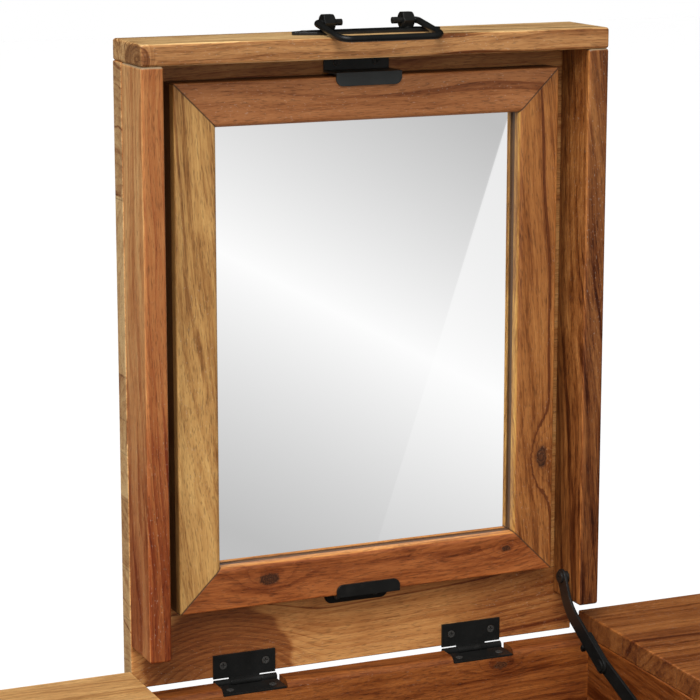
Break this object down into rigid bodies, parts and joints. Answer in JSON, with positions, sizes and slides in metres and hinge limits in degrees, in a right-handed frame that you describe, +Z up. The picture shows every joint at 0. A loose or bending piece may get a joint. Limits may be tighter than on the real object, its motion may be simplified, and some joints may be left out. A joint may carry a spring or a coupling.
{
  "type": "vanity table with mirror",
  "caption": "Solid wood dressing table whose middle top is a lid that lifts to show a framed mirror, with a folding stay, bail pulls and side drawers.",
  "frame": {"origin": "middle of the whole object's footprint, on the floor, with the lid open as it stands at rest", "axes": "+Z up, -Y towards the sitter, +X to the sitter's right"},
  "size_m": [1.1, 0.5292, 1.2473],
  "materials": {
    "acacia_wood": "oiled solid acacia, honey to reddish brown with dark grain",
    "black_iron": "black satin powder coat",
    "mirror_glass": "silvered glass",
    "backing_board": "hardboard"
  },
  "bodies": {
    "root": {"fixed_top_left": "acacia_wood", "fixed_top_right": "acacia_wood", "side_apron_left": "acacia_wood", "side_apron_right": "acacia_wood", "back_apron_left": "acacia_wood", "back_apron_right": "acacia_wood", "drawer_rail_left": "acacia_wood", "drawer_rail_right": "acacia_wood", "compartment_wall_left": "acacia_wood", "compartment_wall_right": "acacia_wood", "leg_front_left": "acacia_wood", "leg_front_right": "acacia_wood", "leg_back_left": "acacia_wood", "leg_back_right": "acacia_wood", "drawer_runners": "acacia_wood", "compartment_floor": "acacia_wood", "compartment_front": "acacia_wood", "compartment_rear_rail": "acacia_wood", "hinge_leaves_table": "black_iron", "hinge_pins": "black_iron", "stay_wall_bracket": "black_iron", "table_screws": "black_iron"},
    "lid": {"lid_panel": "acacia_wood", "lid_front_rail": "acacia_wood", "lid_side_rail_left": "acacia_wood", "lid_side_rail_right": "acacia_wood", "mirror_frame_bottom": "acacia_wood", "mirror_frame_right": "acacia_wood", "mirror_frame_top": "acacia_wood", "mirror_frame_left": "acacia_wood", "mirror_glass": "mirror_glass", "mirror_backing": "backing_board", "mirror_clip_top": "black_iron", "mirror_clip_bottom": "black_iron", "hinge_leaves_lid": "black_iron", "lid_pull_plate": "black_iron", "lid_pull_posts": "black_iron", "lid_screws": "black_iron"},
    "lid_bail": {"lid_pull_bail": "black_iron"},
    "stay_lower": {"stay_lower_arm": "black_iron"},
    "stay_upper": {"stay_upper_arm": "black_iron", "stay_rivets": "black_iron"},
    "drawer_left": {"drawer_left_front": "acacia_wood", "drawer_left_side_inner": "acacia_wood", "drawer_left_side_outer": "acacia_wood", "drawer_left_back": "acacia_wood", "drawer_left_base": "acacia_wood", "drawer_left_pull_plate": "black_iron", "drawer_left_pull_posts": "black_iron", "drawer_left_screws": "black_iron"},
    "drawer_left_bail": {"drawer_left_pull_bail": "black_iron"},
    "drawer_right": {"drawer_right_front": "acacia_wood", "drawer_right_side_inner": "acacia_wood", "drawer_right_side_outer": "acacia_wood", "drawer_right_back": "acacia_wood", "drawer_right_base": "acacia_wood", "drawer_right_pull_plate": "black_iron", "drawer_right_pull_posts": "black_iron", "drawer_right_screws": "black_iron"},
    "drawer_right_bail": {"drawer_right_pull_bail": "black_iron"}
  },
  "joints": [
    {"name": "lid_hinge", "type": "hinge", "parent": "root", "child": "lid", "pos_m": [0, 0.24365, 0.739], "axis": [1, 0, 0], "range_deg": [0, 90]},
    {"name": "stay_foot", "type": "hinge", "parent": "root", "child": "stay_lower", "pos_m": [0.169, -0.00535, 0.682], "axis": [1, 0, 0], "range_deg": [-36, 0.5]},
    {"name": "stay_knee", "type": "hinge", "parent": "stay_lower", "child": "stay_upper", "pos_m": [0.1665, 0.15665, 0.742], "axis": [1, 0, 0], "range_deg": [-0.5, 74]},
    {"name": "lid_bail_swing", "type": "hinge", "parent": "lid", "child": "lid_bail", "pos_m": [0, 0.23315, 1.2413], "axis": [-1, 0, 0], "range_deg": [0, 198]},
    {"name": "drawer_left_slide", "type": "slide", "parent": "root", "child": "drawer_left", "axis": [0, -1, 0], "range_m": [0, 0.3]},
    {"name": "drawer_left_bail_swing", "type": "hinge", "parent": "drawer_left", "child": "drawer_left_bail", "pos_m": [-0.357, -0.25865, 0.69], "axis": [-1, 0, 0], "range_deg": [-6, 186]},
    {"name": "drawer_right_slide", "type": "slide", "parent": "root", "child": "drawer_right", "axis": [0, -1, 0], "range_m": [0, 0.3]},
    {"name": "drawer_right_bail_swing", "type": "hinge", "parent": "drawer_right", "child": "drawer_right_bail", "pos_m": [0.357, -0.25865, 0.69], "axis": [-1, 0, 0], "range_deg": [-6, 186]}
  ],
  "couplings": [
    {"joint": "stay_foot", "follows": "lid_hinge", "ratio": -0.3932},
    {"joint": "stay_knee", "follows": "lid_hinge", "ratio": 0.8081}
  ]
}
